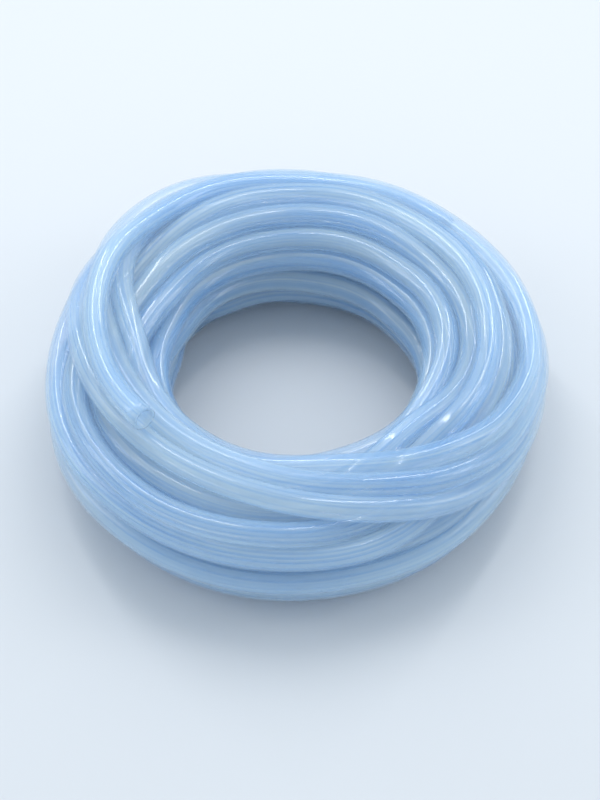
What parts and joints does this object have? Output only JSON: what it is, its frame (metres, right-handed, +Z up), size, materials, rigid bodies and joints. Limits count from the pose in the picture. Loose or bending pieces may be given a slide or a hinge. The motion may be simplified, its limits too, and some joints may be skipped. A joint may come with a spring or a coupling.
{
  "type": "silicone tubing coil",
  "caption": "Coil of soft translucent silicone tube, lying flat, its upper turns crossing the lower ones at a slant, with both ends cut square and open.",
  "frame": {"origin": "middle of the coil, on the surface it lies on", "axes": "+Z up along the coil's axis, -Y towards the side that the free end points to"},
  "size_m": [0.2044, 0.2035, 0.0805],
  "materials": {
    "silicone": "smooth milky translucent silicone",
    "silicone_end": "smooth milky translucent silicone"
  },
  "bodies": {
    "root": {"wound_turns": "silicone", "free_end": "silicone_end", "start_end": "silicone_end"}
  },
  "joints": []
}
